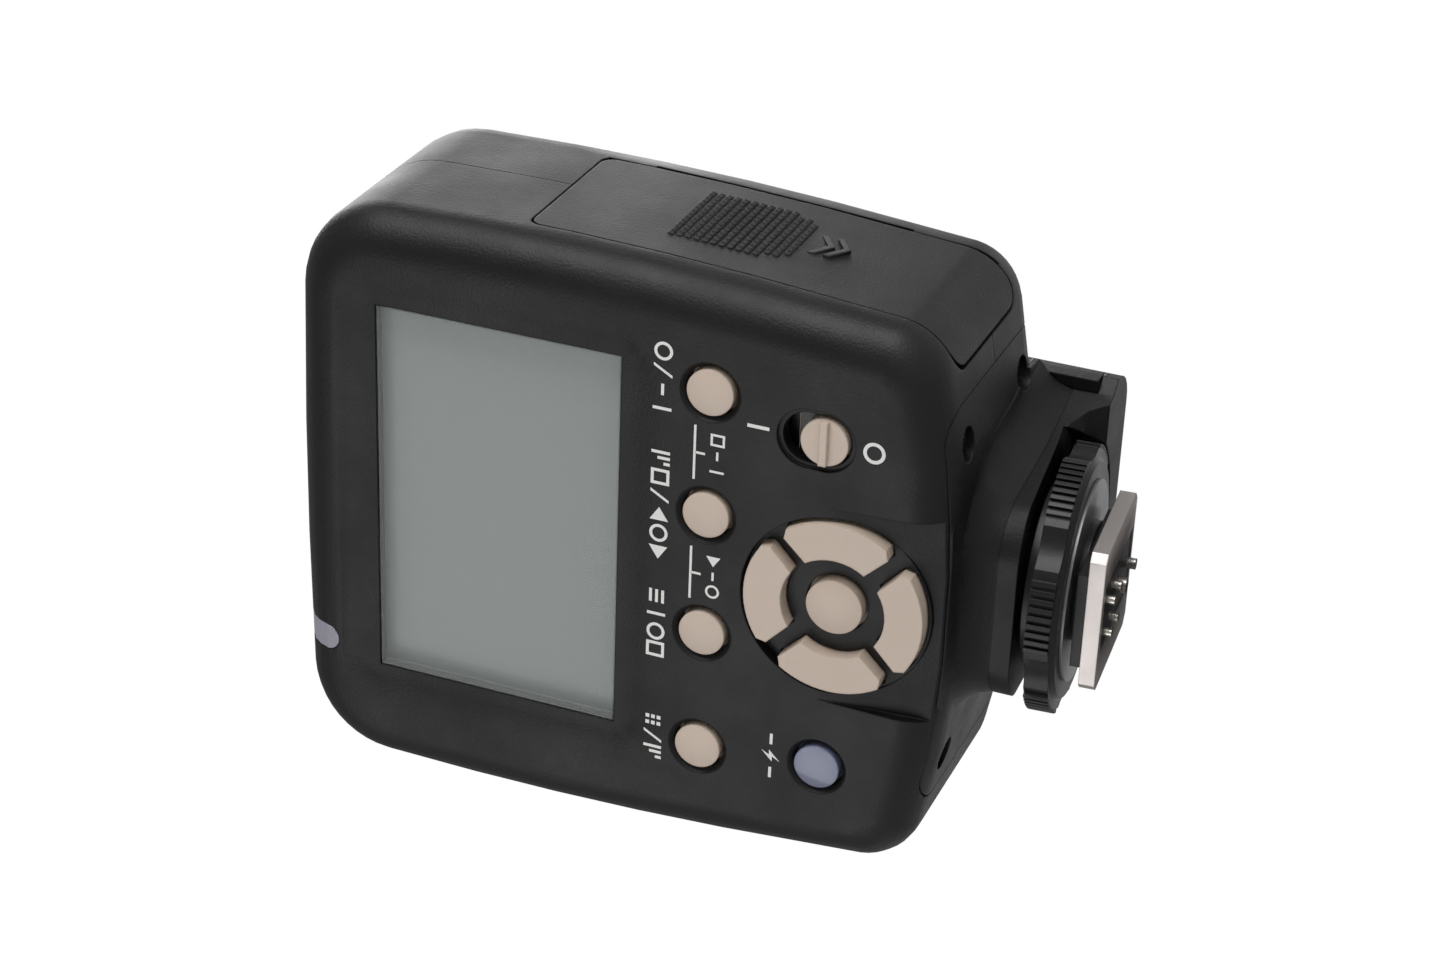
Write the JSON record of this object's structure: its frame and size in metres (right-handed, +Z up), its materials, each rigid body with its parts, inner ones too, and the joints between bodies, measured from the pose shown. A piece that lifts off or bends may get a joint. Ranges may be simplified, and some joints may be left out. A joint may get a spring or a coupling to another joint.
{
  "type": "wireless flash trigger",
  "caption": "Black wireless flash trigger with a rear display, round keys, side battery door and a locking accessory shoe underneath.",
  "frame": {"origin": "centre of the shoe plate's underside", "axes": "+Z up from the shoe into the body, +Y forward, away from the display, +X towards the battery door"},
  "size_m": [0.0778, 0.0433, 0.1039],
  "materials": {
    "black_plastic": "fine texture",
    "dark_plastic": "satin",
    "key_plastic": "satin",
    "test_plastic": "translucent",
    "clear_window": "clear",
    "display_glass": "satin",
    "white_plastic": "satin",
    "pipe_plastic": "translucent",
    "red_plastic": "clear",
    "lamp_plastic": "clear",
    "board": "satin",
    "bright_metal": "satin",
    "grey_steel": "satin",
    "shoe_metal": "satin nickel",
    "pin_metal": "polished",
    "ribbon": "satin",
    "cell_wrap": "gloss"
  },
  "bodies": {
    "casing": {"rear_shell": "black_plastic", "front_shell": "black_plastic", "base_block": "black_plastic", "lcd_window": "clear_window", "lcd_panel": "display_glass", "lcd_backlight": "white_plastic", "indicator_pipe": "pipe_plastic", "indicator_led": "white_plastic", "pad_bezel": "black_plastic", "test_led": "white_plastic", "power_switch_body": "dark_plastic", "key_board": "board", "tact_switches": "bright_metal", "main_board": "board", "board_chips": "dark_plastic", "radio_module": "bright_metal", "antenna": "pin_metal", "board_screws": "bright_metal", "battery_tray": "dark_plastic", "battery_cell_1": "cell_wrap", "battery_cell_2": "cell_wrap", "battery_springs": "bright_metal", "battery_plates": "bright_metal", "red_window": "red_plastic", "signal_lamp": "lamp_plastic", "foot_column": "dark_plastic", "column_screws": "bright_metal", "shoe_plate": "shoe_metal", "contact_insert": "dark_plastic", "side_spring_1": "bright_metal", "side_spring_2": "bright_metal", "side_spring_3": "bright_metal", "side_spring_4": "bright_metal", "centre_spring": "bright_metal", "base_screws": "dark_plastic", "foot_ribbon": "ribbon"},
    "row_key_1": {"row_button_1": "key_plastic"},
    "row_key_2": {"row_button_2": "key_plastic"},
    "row_key_3": {"row_button_3": "key_plastic"},
    "row_key_4": {"row_button_4": "key_plastic"},
    "right_key": {"pad_key_right": "key_plastic"},
    "up_key": {"pad_key_up": "key_plastic"},
    "left_key": {"pad_key_left": "key_plastic"},
    "down_key": {"pad_key_down": "key_plastic"},
    "middle_key": {"ok_key": "key_plastic"},
    "test_key": {"test_button": "test_plastic"},
    "switch_knob": {"power_knob": "key_plastic"},
    "door_pin": {"door_hinge_pin": "bright_metal"},
    "door": {"battery_door": "black_plastic"},
    "clamp": {"clamp_washer": "grey_steel"},
    "wheel": {"locking_wheel": "dark_plastic"},
    "lock_pin_body": {"lock_pin": "bright_metal"},
    "contact_1": {"side_pin_1": "pin_metal"},
    "contact_2": {"side_pin_2": "pin_metal"},
    "contact_3": {"side_pin_3": "pin_metal"},
    "contact_4": {"side_pin_4": "pin_metal"},
    "contact_centre": {"centre_pin": "pin_metal"}
  },
  "joints": [
    {"name": "row_key_1_press", "type": "slide", "parent": "casing", "child": "row_key_1", "axis": [0, 0.9971, -0.0767], "range_m": [0, 0.0007], "stiffness_N_per_m": 1500, "springref_m": -0.0006},
    {"name": "row_key_2_press", "type": "slide", "parent": "casing", "child": "row_key_2", "axis": [0, 0.9971, -0.0767], "range_m": [0, 0.0007], "stiffness_N_per_m": 1500, "springref_m": -0.0006},
    {"name": "row_key_3_press", "type": "slide", "parent": "casing", "child": "row_key_3", "axis": [0, 0.9971, -0.0767], "range_m": [0, 0.0007], "stiffness_N_per_m": 1500, "springref_m": -0.0006},
    {"name": "row_key_4_press", "type": "slide", "parent": "casing", "child": "row_key_4", "axis": [0, 0.9971, -0.0767], "range_m": [0, 0.0007], "stiffness_N_per_m": 1500, "springref_m": -0.0006},
    {"name": "right_key_press", "type": "slide", "parent": "casing", "child": "right_key", "axis": [0, 0.9971, -0.0767], "range_m": [0, 0.0007], "stiffness_N_per_m": 1500, "springref_m": -0.0006},
    {"name": "up_key_press", "type": "slide", "parent": "casing", "child": "up_key", "axis": [0, 0.9971, -0.0767], "range_m": [0, 0.0007], "stiffness_N_per_m": 1500, "springref_m": -0.0006},
    {"name": "left_key_press", "type": "slide", "parent": "casing", "child": "left_key", "axis": [0, 0.9971, -0.0767], "range_m": [0, 0.0007], "stiffness_N_per_m": 1500, "springref_m": -0.0006},
    {"name": "down_key_press", "type": "slide", "parent": "casing", "child": "down_key", "axis": [0, 0.9971, -0.0767], "range_m": [0, 0.0007], "stiffness_N_per_m": 1500, "springref_m": -0.0006},
    {"name": "middle_key_press", "type": "slide", "parent": "casing", "child": "middle_key", "axis": [0, 0.9971, -0.0767], "range_m": [0, 0.0007], "stiffness_N_per_m": 1500, "springref_m": -0.0006},
    {"name": "test_key_press", "type": "slide", "parent": "casing", "child": "test_key", "axis": [0, 0.9971, -0.0767], "range_m": [0, 0.0007], "stiffness_N_per_m": 1500, "springref_m": -0.0006},
    {"name": "power_switch", "type": "slide", "parent": "casing", "child": "switch_knob", "axis": [0, 0.0767, 0.9971], "range_m": [0, 0.002]},
    {"name": "door_slide", "type": "slide", "parent": "casing", "child": "door_pin", "axis": [-0.0576, -0.0766, -0.9954], "range_m": [0, 0.003]},
    {"name": "door_turn", "type": "hinge", "parent": "door_pin", "child": "door", "pos_m": [0.03641, 0.01253, 0.04818], "axis": [0.0576, 0.0766, 0.9954], "range_deg": [0, 80]},
    {"name": "clamp_lift", "type": "slide", "parent": "casing", "child": "clamp", "axis": [0, 0, -1], "range_m": [0, 0.0005]},
    {"name": "wheel_turn", "type": "hinge", "parent": "clamp", "child": "wheel", "pos_m": [0, 0.0011, 0.0065], "axis": [0, 0, 1], "range_deg": [0, 250]},
    {"name": "lock_pin_drop", "type": "slide", "parent": "casing", "child": "lock_pin_body", "axis": [0, 0, 1], "range_m": [0, 0.0009], "stiffness_N_per_m": 300, "springref_m": -0.0008},
    {"name": "contact_1_press", "type": "slide", "parent": "casing", "child": "contact_1", "axis": [0, 0, 1], "range_m": [0, 0.0008], "stiffness_N_per_m": 400, "springref_m": -0.0005, "deforming": ["side_spring_1"]},
    {"name": "contact_2_press", "type": "slide", "parent": "casing", "child": "contact_2", "axis": [0, 0, 1], "range_m": [0, 0.0008], "stiffness_N_per_m": 400, "springref_m": -0.0005, "deforming": ["side_spring_2"]},
    {"name": "contact_3_press", "type": "slide", "parent": "casing", "child": "contact_3", "axis": [0, 0, 1], "range_m": [0, 0.0008], "stiffness_N_per_m": 400, "springref_m": -0.0005, "deforming": ["side_spring_3"]},
    {"name": "contact_4_press", "type": "slide", "parent": "casing", "child": "contact_4", "axis": [0, 0, 1], "range_m": [0, 0.0008], "stiffness_N_per_m": 400, "springref_m": -0.0005, "deforming": ["side_spring_4"]},
    {"name": "contact_centre_press", "type": "slide", "parent": "casing", "child": "contact_centre", "axis": [0, 0, 1], "range_m": [0, 0.0008], "stiffness_N_per_m": 600, "springref_m": -0.0005, "deforming": ["centre_spring"]}
  ],
  "couplings": [
    {"joint": "clamp_lift", "follows": "wheel_turn", "m_per_rad": 0.00011141}
  ]
}
